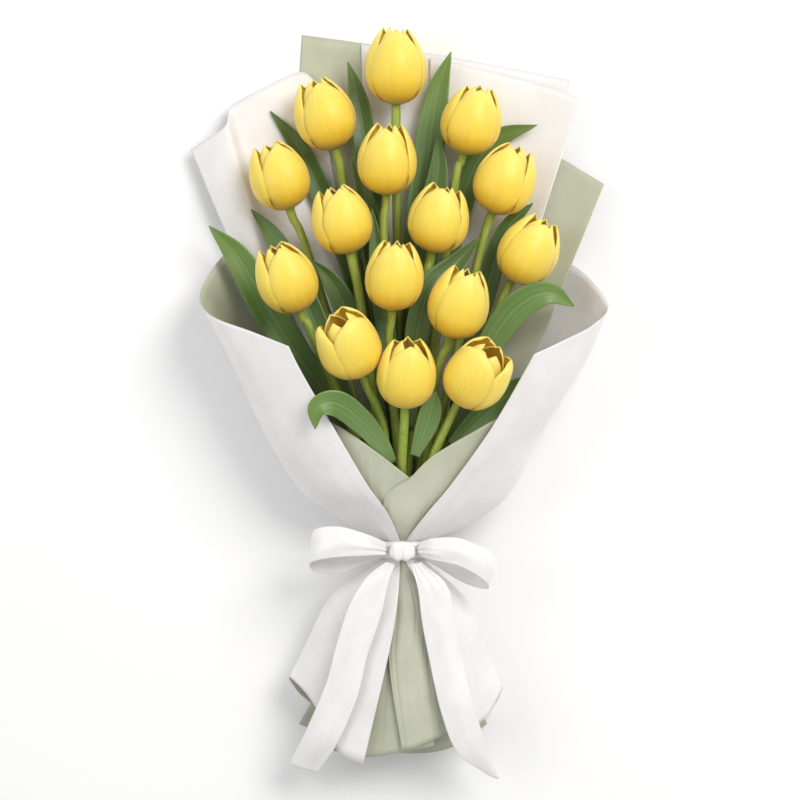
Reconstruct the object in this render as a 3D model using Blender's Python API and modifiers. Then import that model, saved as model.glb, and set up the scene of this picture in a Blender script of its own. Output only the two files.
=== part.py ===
# A wrapped bunch of fifteen tulips, lying on its back with the flowers to +Y.
# Metres, +Z up.  Z = 0 is the surface that the bunch lies on, X runs across it
# and the origin is the bottom centre of the whole bunch.
#
# The bunch is laid out like a drawing seen from above.  A place in it is
# (column, row, height): columns run to +X and rows run to -Y in steps of STEP
# at the height MID, and the height is millimetres above the surface.  The
# drawing is a perspective one, so higher things are drawn a little larger:
# at() turns a place into metres.
import math

import bmesh
import bpy
from mathutils import Matrix, Vector

MM = 0.001
STEP = 0.8            # mm per drawing step at the height MID
MID = 70.0            # mm
EYE = 2400.0          # mm, height that the drawing is seen from
CENTRE = (400.0, 400.0)
ORIGIN_SHIFT = (0.0019, 0.0015, 0.0)   # puts the origin under the middle of the bunch

STEM_D = 7.0          # mm
STEM_PITCH = 7.3      # mm between stems in the tie
STEM_END_ROW = 735.0  # where the stems are cut off, inside the skirt
PAPER = 0.6           # mm, wrapping paper
PLY = 1.5             # mm between neighbouring papers in the tie
BLADE = 1.2           # mm, leaf
PETAL = 2.2           # mm, wall of a flower
RIBBON = 0.8          # mm
TIE = (403.0, 550.0, 42.0)
TIE_AX, TIE_AZ, TIE_SQUARE = 14.0, 19.0, 3.0   # mm, half axes of the bundle of stems in the tie, an oval with square shoulders


def at(col, row, z):
    k = STEP * (EYE - z) / (EYE - MID) * MM
    return Vector(((col - CENTRE[0]) * k, (CENTRE[1] - row) * k, z * MM))


def in_tie(row, ply, deg):
    """A place on the oval that a paper follows round the stems; 90 degrees is
    the front of the bunch and 270 degrees its back."""
    off = 0.5 + PLY * ply
    c, s = math.cos(math.radians(deg)), math.sin(math.radians(deg))
    k = (abs(c) ** TIE_SQUARE + abs(s) ** TIE_SQUARE) ** (-1 / TIE_SQUARE)
    return (TIE[0] + (TIE_AX + off) * k * c / STEP, row,
            TIE[2] + (TIE_AZ + off) * k * s)


def smooth(points, t):
    """A Catmull-Rom curve through the points, t from 0 to 1."""
    n = len(points) - 1
    x = min(max(t, 0.0), 1.0) * n
    i = min(int(x), n - 1)
    f = x - i
    p1, p2 = points[i], points[i + 1]
    p0 = points[i - 1] if i else 2 * p1 - p2
    p3 = points[i + 2] if i + 2 <= n else 2 * p2 - p1
    return 0.5 * (2 * p1 + (p2 - p0) * f + (2 * p0 - 5 * p1 + 4 * p2 - p3) * f * f
                  + (3 * p1 - p0 - 3 * p2 + p3) * f ** 3)


def ease(table, t):
    """Linear reading of a small table of (t, value)."""
    for (a, va), (b, vb) in zip(table, table[1:]):
        if t <= b:
            return va + (vb - va) * (t - a) / (b - a)
    return table[-1][1]


# ---------------------------------------------------------------- scene set-up
for ob in list(bpy.data.objects):
    bpy.data.objects.remove(ob, do_unlink=True)

parts = bpy.data.collections.new("tulip_bunch")
bpy.context.scene.collection.children.link(parts)
root = bpy.data.objects.new("bunch_root", None)
root.location = ORIGIN_SHIFT
parts.objects.link(root)


def material(name, rgb, rough, metallic=0.0):
    m = bpy.data.materials.new(name)
    m.use_nodes = True
    bsdf = m.node_tree.nodes["Principled BSDF"]
    bsdf.inputs["Base Color"].default_value = (*rgb, 1.0)
    bsdf.inputs["Roughness"].default_value = rough
    bsdf.inputs["Metallic"].default_value = metallic
    return m


PETAL_MAT = material("petal_yellow", (0.92, 0.62, 0.08), 0.5)
STEM_MAT = material("stem_green", (0.33, 0.38, 0.05), 0.45)
LEAF_MAT = material("leaf_green", (0.08, 0.16, 0.03), 0.5)
SAGE_MAT = material("paper_sage", (0.52, 0.54, 0.42), 0.8)
WHITE_MAT = material("paper_white", (0.84, 0.80, 0.79), 0.7)
RIBBON_MAT = material("ribbon_ivory", (0.92, 0.89, 0.86), 0.35)


def add(name, bm, mat, thickness=None, smooth_faces=True):
    me = bpy.data.meshes.new(name)
    bmesh.ops.recalc_face_normals(bm, faces=bm.faces[:])
    if not thickness and bm.calc_volume(signed=True) < 0:
        bmesh.ops.reverse_faces(bm, faces=bm.faces[:])
    bm.to_mesh(me)
    bm.free()
    me.materials.append(mat)
    if smooth_faces:
        me.shade_smooth()
    ob = bpy.data.objects.new(name, me)
    parts.objects.link(ob)
    ob.parent = root
    if thickness:
        s = ob.modifiers.new("thickness", "SOLIDIFY")
        s.thickness = thickness * MM
        s.offset = 0.0
        s.use_even_offset = False
    return ob


def sheet(name, rows, across, mat, thickness=PAPER, along=None, floor=None):
    """A sheet of paper or ribbon: a grid laid over the net of places, each row
    of places running across the sheet, and made solid."""
    net = [[at(*p) for p in row] for row in rows]
    bm = bmesh.new()
    bmesh.ops.create_grid(bm, x_segments=across, y_segments=along or len(rows) - 1, size=0.5)
    for v in bm.verts:
        u, w = v.co.x + 0.5, 0.5 - v.co.y
        v.co = smooth([smooth(row, u) for row in net], w)
        if floor is not None:
            v.co.z = max(v.co.z, floor * MM)
    return add(name, bm, mat, thickness)


def leaf(name, spine, width, roll=0.0, fold=0.12, base=0.45, along=9):
    """A blade from its tip to its base, widest above the middle, folded a
    little along its midrib.  width is in drawing steps."""
    pts = [at(*p) for p in spine]
    bm = bmesh.new()
    bmesh.ops.create_grid(bm, x_segments=2, y_segments=along, size=0.5)
    shape = [(0.0, 0.05), (0.08, 0.42), (0.2, 0.8), (0.36, 1.0), (0.55, 0.95), (0.8, 0.68), (1.0, base)]
    for v in bm.verts:
        side, t = 2 * v.co.x, 0.5 - v.co.y
        p = smooth(pts, t)
        d = smooth(pts, min(t + 0.02, 1.0)) - smooth(pts, max(t - 0.02, 0.0))
        d.normalize()
        out = d.cross(Vector((0, 0, 1))).normalized()
        out = Matrix.Rotation(math.radians(roll), 3, d) @ out
        up = out.cross(d)
        half = 0.5 * width * STEP * MM * ease(shape, t)
        v.co = p + out * side * half + up * abs(side) * half * fold
    return add(name, bm, LEAF_MAT, BLADE)


# --------------------------------------------------------------- flowers, stems
# number: (base place, lean to +X in degrees, tip-up in degrees, length, radius, mouth), mm
FLOWERS = {
    1: ((396, 105, 30), 0, 10, 62, 24.5, 0.60),
    2: ((335, 149, 30), -17, 12, 58, 24.5, 0.62),
    3: ((386, 195, 52), 2, 14, 57, 23.5, 0.62),
    4: ((463, 154, 36), 15, 12, 56, 24.0, 0.64),
    5: ((290, 209, 44), -18, 12, 55, 23.5, 0.62),
    6: ((492, 213, 50), 21, 12, 57, 24.5, 0.62),
    7: ((350, 253, 64), -14, 15, 55, 24.0, 0.66),
    8: ((432, 252, 64), 12, 15, 54, 24.0, 0.66),
    9: ((512, 281, 60), 30, 15, 56, 24.0, 0.62),
    10: ((300, 311, 78), -22, 18, 57, 23.5, 0.62),
    11: ((392, 310, 84), 4, 18, 56, 23.0, 0.66),
    12: ((450, 337, 82), 16, 18, 57, 24.0, 0.66),
    13: ((362, 374, 94), -24, 27, 54, 24.5, 0.86),
    14: ((405, 407, 98), 3, 22, 56, 23.0, 0.66),
    15: ((459, 402, 94), 33, 27, 55, 24.5, 0.86),
}
# number: place in the tie (row of stems from the back, column from the left),
# then a place that the stem passes below its flower
STEMS = {
    1: (0, 1, (396, 160)), 2: (0, 0, (343, 183)), 4: (0, 2, (455, 185)),
    5: (1, 0, (307, 250)), 3: (1, 1, (384, 240)), 6: (1, 2, (478, 260)),
    7: (2, 0, (361, 305)), 8: (2, 1, (426, 285)), 9: (2, 2, (490, 330)),
    10: (3, 0, (313, 334)), 11: (3, 1, (389, 350)), 12: (3, 2, (438, 370)),
    13: (4, 0, (383, 427)), 14: (4, 1, (402, 470)), 15: (4, 2, (434, 455)),
}


def axis_of(lean, tip_up):
    a, b = math.radians(lean), math.radians(tip_up)
    return Vector((math.sin(a) * math.cos(b), math.cos(a) * math.cos(b), math.sin(b)))


def flower(n, place, lean, tip_up, length, radius, mouth):
    """An egg-shaped cup of six tepals with an open mouth: a turned wall whose
    rim rises and falls over the tepals' tips."""
    outside = [(0.0, 0.0), (0.0, 0.16), (0.05, 0.5), (0.16, 0.8), (0.36, 1.0), (0.62, 0.97), (0.84, (0.97 + mouth) / 2), (1.0, mouth)]
    inside = [(0.985, mouth - 0.09), (0.7, 0.83), (0.35, 0.86), (0.16, 0.6), (0.09, 0.0)]
    bm = bmesh.new()
    vs = [bm.verts.new((f * radius * MM, 0, t * length * MM)) for t, f in outside + inside]
    es = [bm.edges.new(e) for e in zip(vs, vs[1:])]
    bmesh.ops.spin(bm, geom=vs + es, axis=(0, 0, 1), cent=(0, 0, 0), steps=12, angle=2 * math.pi)
    bmesh.ops.remove_doubles(bm, verts=bm.verts[:], dist=1e-6)
    for v in bm.verts:
        phi = math.atan2(v.co.y, v.co.x)
        t = v.co.z / (length * MM)
        lobe = 0.5 - 0.5 * math.cos(6 * phi)
        v.co.z -= 0.11 * length * MM * lobe * max(0.0, t - 0.45) / 0.55
        k = 1.0 - 0.03 * lobe * min(1.0, 2 * t)
        v.co.x *= k
        v.co.y *= k
    d = axis_of(lean, tip_up)
    turn = d.to_track_quat("Z", "Y").to_matrix().to_4x4()
    bm.transform(Matrix.Translation(at(*place)) @ turn)
    return add("flower_%02d" % n, bm, PETAL_MAT)


def tie_place(row, col):
    shift = (-0.25, 0.25, -0.25, 0.25, 0.0)[row] * STEM_PITCH / STEP
    return (TIE[0] + (col - 1) * STEM_PITCH / STEP + shift,
            TIE[2] + (row - 2) * STEM_PITCH * math.sqrt(3) / 2 + (0.8 if row == 4 else 0.0))


def stem(n):
    """A stem from its cut end, straight through the tie, then gently bowed to
    just below its flower, which it meets along the flower's axis."""
    place, lean, tip_up = FLOWERS[n][:3]
    row, col, via = STEMS[n]
    tc, tz = tie_place(row, col)
    share = (TIE[1] - via[1]) / (TIE[1] - place[1])
    places = [(tc, TIE[1], tz)]
    if share > 0.6:
        places.append((tc + (via[0] - tc) * 0.47, TIE[1] - (TIE[1] - via[1]) * 0.5,
                       tz + (place[2] - tz) * share * 0.5))
    places.append((*via, tz + (place[2] - tz) * share))
    axis = axis_of(lean, tip_up)
    bow = [at(*p) for p in places] + [at(*place) - axis * 8 * MM]
    pts = [at(TIE[0] + (tc - TIE[0]) * 2.2, STEM_END_ROW, 37 + (tz - TIE[2]) * 0.9)]
    pts += [smooth(bow, i / 5) for i in range(6)]
    pts.append(at(*place) - axis * 0.5 * MM)
    count = len(pts)
    curve = bpy.data.curves.new("stem_%02d" % n, "CURVE")
    curve.dimensions = "3D"
    curve.bevel_depth = STEM_D / 2 * MM
    curve.bevel_resolution = 1
    curve.use_fill_caps = True
    sp = curve.splines.new("POLY")
    sp.points.add(count - 1)
    for i in range(count):
        sp.points[i].co = (*pts[i], 1.0)
    curve.materials.append(STEM_MAT)
    ob = bpy.data.objects.new("stem_%02d" % n, curve)
    parts.objects.link(ob)
    ob.parent = root
    return ob


for n, row in FLOWERS.items():
    flower(n, *row)
for n in STEMS:
    stem(n)

# ----------------------------------------------------------------------- leaves
# tip first, base last
leaf("leaf_back_left", [(348, 62, 20), (358, 100, 18), (366, 145, 20), (378, 240, 21), (391, 360, 22.5), (399, 480, 23.5)], 26)
leaf("leaf_back_right", [(451, 52, 22), (437, 95, 18), (428, 150, 18), (417, 250, 19), (409, 360, 20.5), (405, 478, 21.2)], 31)
leaf("leaf_upper_left", [(270, 111, 16), (298, 146, 12), (322, 195, 13), (350, 265, 15), (378, 370, 17), (397, 474, 18.8)], 25)
leaf("leaf_upper_right", [(537, 125, 26), (500, 138, 15), (474, 170, 13.5), (452, 235, 14), (428, 350, 14.5), (412, 456, 17)], 27)
leaf("leaf_left_long", [(209, 226, 44), (238, 258, 34), (268, 308, 30), (305, 366, 30), (342, 412, 31), (366, 446, 33)], 34)
leaf("leaf_left_inner", [(251, 209, 28), (276, 240, 34), (300, 290, 46), (326, 350, 50), (350, 410, 50), (366, 440, 48)], 26)
leaf("leaf_middle_left", [(351, 155, 36), (364, 190, 35), (370, 230, 35), (378, 300, 34.6), (388, 390, 34.4), (393, 462, 34.3)], 22)
leaf("leaf_middle_right", [(438, 135, 36), (438, 170, 35.5), (432, 215, 35), (421, 300, 34.8), (413, 390, 34.6), (410, 462, 34.5)], 25)
leaf("leaf_left_low", [(313, 261, 58), (333, 284, 54), (350, 316, 50), (362, 350, 47.5), (374, 395, 46), (385, 440, 45)], 26)
leaf("leaf_right_diagonal", [(480, 237, 58), (455, 264, 60), (432, 288, 69), (419, 325, 67), (411, 380, 61.5), (407, 430, 58)], 27)
leaf("leaf_right_inner", [(533, 203, 44), (511, 224, 42), (497, 254, 40), (484, 300, 38), (464, 370, 36), (448, 440, 34)], 22)
leaf("leaf_right_drooping", [(574, 306, 66), (549, 293, 72), (520, 306, 70), (494, 338, 67), (470, 390, 61.5), (450, 440, 57)], 30)
leaf("leaf_right_low", [(540, 377, 84), (514, 391, 80), (488, 412, 76), (468, 430, 72), (452, 446, 68)], 27)
leaf("leaf_front_left", [(315, 429, 113), (318, 408, 118), (338, 404, 112), (362, 421, 98), (380, 443, 87.5), (393, 463, 81)], 26, base=0.3)
leaf("leaf_front_right", [(436, 391, 99), (431, 410, 95), (423, 434, 88), (415, 456, 81)], 22)

# ------------------------------------------------------------------------ paper
ENTER, LEAVE = 541.0, 562.0   # rows between which the papers are gathered in the tie


def gathered(ply, degs):
    return [[in_tie(row, ply, d) for d in degs] for row in (ENTER, TIE[1], LEAVE)]


def half_gathered(ply, degs):
    return [[in_tie(row, ply, d) for d in degs] for row in (ENTER, 556.0)]


sheet("wrap_back_sage", [
    [(302, 35, .3), (340, 40, .3), (380, 46, .3), (420, 52, .3), (456, 58, .3)],
    [(297, 120, .3), (340, 125, .3), (385, 130, .3), (430, 132, .3), (475, 135, .3)],
    [(292, 255, .3), (340, 258, .3), (388, 260, .3), (436, 262, .3), (484, 262, .3)],
    [(306, 380, .3), (346, 380, .3), (392, 380, .3), (438, 380, .3), (480, 380, .3)],
    [(330, 440, 5), (360, 440, 3), (398, 440, 2), (436, 440, 3), (466, 440, 5)],
    [(366, 492, 14), (382, 492, 10), (402, 492, 9), (422, 492, 10), (438, 492, 14)],
    [(380, 520, 17.5), (390, 520, 15), (402, 520, 14), (414, 520, 15), (424, 520, 17.5)],
    *gathered(4, (228, 248, 270, 292, 312)),
    [(374, 604, 11), (386, 604, 8.5), (402, 604, 7.5), (418, 604, 8.5), (430, 604, 11)],
    [(336, 660, 4), (368, 660, 1), (402, 660, .3), (436, 660, 1), (466, 660, 4)],
    [(299, 724, 4), (350, 742, .3), (402, 753, .3), (450, 748, .3), (487, 724, 4)],
], 8, SAGE_MAT, floor=0.3)

sheet("wrap_back_white", [
    [(361, 44, 2), (400, 49, 2), (440, 55, 2.5), (505, 67, 4), (570, 80, 8)],
    [(366, 180, 2), (400, 182, 2), (440, 186, 2.5), (490, 190, 5), (540, 196, 10)],
    [(374, 320, 2), (402, 320, 2), (434, 320, 3), (470, 320, 6), (505, 322, 12)],
    [(386, 430, 5), (404, 430, 4.5), (424, 430, 6), (446, 432, 9.5), (464, 434, 16)],
    [(392, 492, 16), (402, 492, 16), (412, 492, 17.5), (420, 492, 20), (427, 492, 23)],
    *half_gathered(2, (258, 272, 288, 304, 320)),
], 8, WHITE_MAT)

sheet("wrap_right_sage", [
    [(505, 140, 7), (535, 149, 9), (562, 159, 13), (584, 172, 18), (604, 184, 24)],
    [(480, 262, 8), (505, 264, 12), (530, 266, 18), (552, 266, 24), (571, 266, 32)],
    [(462, 345, 10), (482, 346, 15), (502, 347, 22), (520, 348, 30), (538, 350, 40)],
    [(440, 430, 13), (452, 430, 18), (466, 430, 26), (478, 430, 34), (490, 430, 44)],
    [(424, 492, 24), (431, 492, 28), (439, 492, 33), (446, 492, 39), (450, 492, 46)],
    *half_gathered(1, (306, 320, 334, 348, 362)),
], 8, SAGE_MAT)

sheet("wrap_right_white", [
    [(430, 57, 5), (465, 65, 6), (496, 73, 8), (546, 86, 14), (580.6, 98.7, 22)],
    [(428, 180, 5), (462, 188, 8), (495, 195, 12), (524, 200, 18), (551, 190, 28)],
    [(420, 300, 6), (445, 305, 10), (470, 305, 15), (494, 304, 22), (516, 300, 30)],
    [(410, 430, 9), (420, 430, 12), (434, 430, 17), (448, 430, 23), (460, 430, 30)],
    [(405, 492, 19.5), (412, 492, 21.5), (418, 492, 25), (424, 492, 29.5), (428, 492, 34)],
    *half_gathered(0, (278, 292, 306, 320, 334)),
], 8, WHITE_MAT)

sheet("wrap_left_white", [
    [(191, 150, 12), (208, 138, 20), (226, 125, 24), (232, 106, 13), (264, 88, 13), (300, 72, 8), (318, 84, 4)],
    [(221, 222, 18), (236, 216, 24), (252, 210, 24), (262, 202, 15), (290, 192, 12), (315, 186, 8), (335, 185, 4)],
    [(268, 325, 20), (280, 320, 22), (292, 315, 20), (304, 310, 15), (324, 306, 10), (344, 303, 7), (360, 302, 4)],
    [(322, 428, 22), (330, 426, 20), (340, 424, 16), (350, 422, 12), (362, 420, 9), (372, 420, 7), (380, 420, 6)],
    [(358, 492, 34), (361, 492, 29), (366, 492, 25), (370, 492, 22), (375, 492, 20), (380, 492, 18.5), (385, 492, 17.5)],
    *half_gathered(1, (188, 197, 206, 216, 226, 236, 246)),
], 12, WHITE_MAT)

sheet("collar_left", [
    [(262, 256, 3), (232, 250, 9), (209, 274, 34), (199.6, 299, 62), (214, 317, 86), (250, 331, 102), (289, 346, 112)],
    [(287, 350, 3), (256, 348, 12), (236, 358, 36), (235, 370, 62), (246, 372, 86), (272, 374, 100), (302, 372, 109)],
    [(320, 428, 5), (294, 428, 16), (273, 432, 38), (266, 436, 60), (277, 434, 82), (304, 430, 96), (334, 428, 103)],
    [(352, 484, 15), (330, 484, 22), (308, 487, 39), (300, 490, 55), (312, 488, 73), (338, 484, 87), (366, 482, 94)],
    [(374, 514, 23), (360, 514, 27), (345, 516, 36), (338, 518, 46), (349, 515, 61), (368, 511, 76), (388, 514, 84)],
    *gathered(3, (262, 238, 212, 184, 152, 122, 97)),
    [(388, 604, 13), (368, 602, 16), (344, 596, 24), (333, 594, 36), (346, 600, 52), (370, 604, 64), (397, 606, 71)],
    [(368, 655, 7), (345, 650, 11), (318, 642, 22), (304, 648, 34), (325, 655, 50), (356, 662, 63), (388, 658, 71)],
    [(352, 724, 4), (325, 712, 7), (300, 694, 20), (289, 677, 34), (312, 702, 46), (336, 750, 55), (363, 765, 62)],
], 12, WHITE_MAT)

sheet("collar_right", [
    [(540, 262, 4), (566, 262, 11), (590, 279, 34), (608.5, 306, 60), (592, 325, 84), (566, 339, 100), (534, 354, 110)],
    [(505, 352, 4), (540, 345, 13), (572, 352, 36), (582, 367, 60), (571, 374, 82), (548, 378, 97), (522, 376, 106)],
    [(470, 425, 5), (500, 425, 15), (530, 428, 38), (541, 433, 58), (532, 434, 80), (512, 432, 94), (490, 431, 101)],
    [(438, 484, 14), (465, 482, 21), (497, 486, 38), (511, 490, 53), (498, 488, 71), (474, 480, 85), (452, 484, 92)],
    [(433, 514, 23.5), (446, 516, 27), (464, 520, 34), (477, 521, 45), (464, 518, 60), (443, 514, 77), (424, 517, 84)],
    *gathered(3, (284, 304, 328, 356, 388, 418, 443)),
    [(418, 604, 13), (438, 602, 16), (458, 596, 24), (467, 600, 36), (460, 604, 52), (446, 606, 64), (430, 606, 71)],
    [(436, 655, 7), (458, 650, 11), (480, 642, 22), (488, 650, 34), (478, 660, 50), (462, 664, 63), (444, 662, 71)],
    [(452, 730, 4), (472, 722, 8), (494, 706, 22), (503, 688, 34), (490, 713, 48), (474, 728, 58), (458, 744, 64)],
], 12, WHITE_MAT)

sheet("front_wrap_left", [
    [(303, 418, 78), (330, 422, 94), (366, 444, 91), (410, 478, 86.5), (434, 498, 80)],
    [(324, 484, 62), (344, 482, 79), (370, 484, 86), (404, 500, 80), (424, 510, 75)],
    [(352, 514, 50), (362, 512, 66), (382, 514, 76), (404, 518, 76), (420, 522, 70)],
    *gathered(1, (186, 155, 124, 92, 62)),
    [(352, 602, 36), (368, 604, 50), (388, 608, 58), (408, 608, 61), (424, 606, 58)],
    [(326, 656, 32), (346, 664, 48), (376, 670, 58), (406, 672, 61), (430, 670, 58)],
    [(312, 742, 30), (338, 752, 42), (368, 757, 51), (402, 752, 55), (434, 746, 54)],
], 8, SAGE_MAT)

sheet("front_wrap_right", [
    [(410, 478, 89), (433, 456, 91), (473, 432, 92), (503, 417, 90), (526, 420, 76)],
    [(385, 496, 84), (418, 492, 86), (450, 484, 84), (474, 482, 75), (492, 486, 60)],
    [(384, 516, 79), (408, 520, 79.5), (428, 516, 74), (446, 514, 62), (458, 516, 47)],
    *gathered(2, (128, 98, 66, 32, -4)),
    [(392, 606, 63), (410, 608, 66), (428, 606, 63), (442, 602, 53), (452, 600, 38)],
    [(389, 662, 65), (408, 668, 67), (430, 666, 64), (452, 662, 53), (472, 656, 34)],
    [(402, 750, 60), (414, 748, 60), (438, 738, 58), (464, 726, 49), (482, 718, 36)],
], 8, SAGE_MAT)

# ----------------------------------------------------------------------- ribbon
# the turn of ribbon round the tie: an open oval cylinder, made solid
bm = bmesh.new()
bmesh.ops.create_cone(bm, cap_ends=False, segments=24, radius1=1.0, radius2=1.0, depth=16.0)
BAND_PLY = 5.0
for v in bm.verts:
    v.co = at(*in_tie(TIE[1] + v.co.z, BAND_PLY, math.degrees(math.atan2(v.co.y, v.co.x))))
add("ribbon_band", bm, RIBBON_MAT, RIBBON)

# the knot: a soft rounded block on the front of the band
bm = bmesh.new()
bmesh.ops.create_uvsphere(bm, u_segments=12, v_segments=7, radius=1.0)
KNOT_Z = TIE[2] + TIE_AZ + 0.5 + PLY * BAND_PLY + 7.0
centre = at(TIE[0] - 1, TIE[1] + 1, KNOT_Z)
for v in bm.verts:
    v.co = centre + Vector((v.co.x * 10.5, v.co.y * 8.5, v.co.z * 6.2)) * MM
add("ribbon_knot", bm, RIBBON_MAT)

# bow loops: ribbon that leaves the knot, turns back on itself and returns;
# each row of places runs along the ribbon's width
sheet("ribbon_loop_left", [
    [(387, 543, 74), (386.5, 549, 76), (386, 555, 74)],
    [(366, 534, 84), (366, 545, 88), (366, 556, 86)],
    [(342, 527, 88), (341, 543, 92), (339, 557, 89)],
    [(322, 527, 84), (319, 545, 87), (315, 561, 84)],
    [(313, 532, 76), (310, 549, 78), (309, 566, 75)],
    [(320, 538, 68), (317, 556, 69), (316, 572, 66)],
    [(342, 541, 64), (342, 558, 63), (340, 573, 62)],
    [(366, 542, 66), (366, 555, 65), (366, 563, 64)],
    [(387, 545, 70), (386.5, 550, 70), (386, 555, 69.5)],
], 2, RIBBON_MAT, RIBBON, along=16)
sheet("ribbon_loop_right", [
    [(417, 543, 74), (417.5, 549, 76), (418, 555, 74)],
    [(434, 538, 84), (434, 549, 88), (433, 560, 86)],
    [(458, 538, 88), (460, 552, 92), (459, 566, 89)],
    [(480, 546, 84), (484, 562, 87), (481, 578, 84)],
    [(492, 553, 76), (495, 570, 78), (489, 588, 75)],
    [(482, 556, 68), (485, 572, 69), (479, 588, 66)],
    [(460, 549, 64), (462, 564, 63), (460, 581, 62)],
    [(436, 545, 66), (437, 556, 65), (436, 566, 64)],
    [(417, 545, 70), (417.5, 550, 70), (418, 555, 69.5)],
], 2, RIBBON_MAT, RIBBON, along=16)

# tails: ribbon that leaves below the knot and lies down over the skirt
sheet("ribbon_tail_left", [
    [(386, 562, 75), (391, 563, 75), (395, 564, 75)],
    [(366, 578, 77), (377, 583, 78), (388, 585, 77)],
    [(349, 606, 76), (364, 612, 78), (381, 616, 76)],
    [(337, 642, 72), (352, 648, 75), (368, 654, 73)],
    [(325, 686, 66), (340, 692, 70), (357, 698, 70)],
    [(306, 730, 56), (322, 737, 62), (338, 742, 62)],
    [(289, 764, 38), (303, 769, 42), (317, 773, 42)],
], 2, RIBBON_MAT, RIBBON, along=12)
sheet("ribbon_tail_right", [
    [(411, 564, 75), (416, 563, 75), (421, 562, 75)],
    [(418, 590, 77), (432, 588, 78), (446, 584, 77)],
    [(422, 622, 76), (439, 620, 78), (455, 614, 76)],
    [(430, 664, 73), (447, 662, 75), (463, 656, 73)],
    [(441, 712, 71), (458, 708, 74), (473, 702, 71)],
    [(457, 752, 64), (471, 745, 66), (484, 738, 62)],
    [(486, 774, 48), (493, 777, 48), (499, 779, 47)],
], 2, RIBBON_MAT, RIBBON, along=12)
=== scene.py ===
import math
import random

import bmesh
import bpy
from mathutils import Matrix, Vector, noise


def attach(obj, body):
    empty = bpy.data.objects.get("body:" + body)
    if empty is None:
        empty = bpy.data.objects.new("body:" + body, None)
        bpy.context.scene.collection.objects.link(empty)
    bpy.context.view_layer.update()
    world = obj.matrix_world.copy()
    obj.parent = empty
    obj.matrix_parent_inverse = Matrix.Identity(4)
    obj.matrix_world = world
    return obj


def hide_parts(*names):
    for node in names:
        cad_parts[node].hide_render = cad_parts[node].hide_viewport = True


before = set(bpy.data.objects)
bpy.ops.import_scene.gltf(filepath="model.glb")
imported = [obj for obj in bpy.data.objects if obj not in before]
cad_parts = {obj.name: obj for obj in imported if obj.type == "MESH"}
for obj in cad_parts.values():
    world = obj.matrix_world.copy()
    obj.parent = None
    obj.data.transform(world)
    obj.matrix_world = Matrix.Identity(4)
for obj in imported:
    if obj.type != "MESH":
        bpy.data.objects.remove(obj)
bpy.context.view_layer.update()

MM = 0.001
STEP, MID, EYE = 0.8, 70.0, 2400.0
CENTRE = (400.0, 400.0)
SHIFT = Vector((0.0019, 0.0015, 0.0))
TIE = (403.0, 550.0, 42.0)
TIE_AX, TIE_AZ, TIE_SQUARE = 14.0, 19.0, 3.0
PLY = 1.5
STEM_PITCH = 7.3
ENTER, LEAVE = 541.0, 562.0


def at(col, row, z):
    k = STEP * (EYE - z) / (EYE - MID) * MM
    return SHIFT + Vector(((col - CENTRE[0]) * k, (CENTRE[1] - row) * k, z * MM))


def in_tie(row, ply, deg):
    off = 0.5 + PLY * ply
    c, s = math.cos(math.radians(deg)), math.sin(math.radians(deg))
    k = (abs(c) ** TIE_SQUARE + abs(s) ** TIE_SQUARE) ** (-1 / TIE_SQUARE)
    return (TIE[0] + (TIE_AX + off) * k * c / STEP, row, TIE[2] + (TIE_AZ + off) * k * s)


def smooth(points, t):
    n = len(points) - 1
    x = min(max(t, 0.0), 1.0) * n
    i = min(int(x), n - 1)
    f = x - i
    p1, p2 = points[i], points[i + 1]
    p0 = points[i - 1] if i else 2 * p1 - p2
    p3 = points[i + 2] if i + 2 <= n else 2 * p2 - p1
    return 0.5 * (2 * p1 + (p2 - p0) * f + (2 * p0 - 5 * p1 + 4 * p2 - p3) * f * f
                  + (3 * p1 - p0 - 3 * p2 + p3) * f ** 3)


def ease(table, t):
    for (a, va), (b, vb) in zip(table, table[1:]):
        if t <= b:
            f = (t - a) / (b - a)
            return va + (vb - va) * f
    return table[-1][1]


def soft(table, t):
    """The same table read through smooth steps."""
    pts = [Vector((a, v, 0)) for a, v in table]
    lo, hi = 0.0, 1.0
    for _ in range(18):
        m = (lo + hi) / 2
        if smooth(pts, m).x < t:
            lo = m
        else:
            hi = m
    return smooth(pts, lo).y


# ------------------------------------------------------------------- materials
def nodes_of(name):
    m = bpy.data.materials.new(name)
    m.use_nodes = True
    nt = m.node_tree
    return m, nt, nt.nodes["Principled BSDF"]


def link(nt, a, b):
    nt.links.new(a, b)


def node(nt, kind, **kw):
    n = nt.nodes.new(kind)
    for k, v in kw.items():
        setattr(n, k, v)
    return n


def ramp(nt, fac, stops):
    r = node(nt, "ShaderNodeValToRGB")
    el = r.color_ramp.elements
    while len(el) > 1:
        el.remove(el[-1])
    el[0].position, el[0].color = stops[0][0], (*stops[0][1], 1)
    for pos, col in stops[1:]:
        e = el.new(pos)
        e.color = (*col, 1)
    link(nt, fac, r.inputs[0])
    return r.outputs[0]


def mix(nt, kind, fac, a, b):
    m = node(nt, "ShaderNodeMix", data_type="RGBA", blend_type=kind)
    m.clamp_result = True
    for sock, val in ((m.inputs[0], fac), (m.inputs[6], a), (m.inputs[7], b)):
        if isinstance(val, (int, float)):
            sock.default_value = val
        elif isinstance(val, tuple):
            sock.default_value = (*val, 1)
        else:
            link(nt, val, sock)
    return m.outputs[2]


def noise_tex(nt, vec, scale, detail=4.0, rough=0.55):
    n = node(nt, "ShaderNodeTexNoise")
    n.inputs["Scale"].default_value = scale
    n.inputs["Detail"].default_value = detail
    n.inputs["Roughness"].default_value = rough
    if vec is not None:
        link(nt, vec, n.inputs["Vector"])
    return n.outputs[0]


def mapped(nt, src, scale):
    m = node(nt, "ShaderNodeMapping")
    m.inputs["Scale"].default_value = scale
    link(nt, src, m.inputs["Vector"])
    return m.outputs[0]


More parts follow.
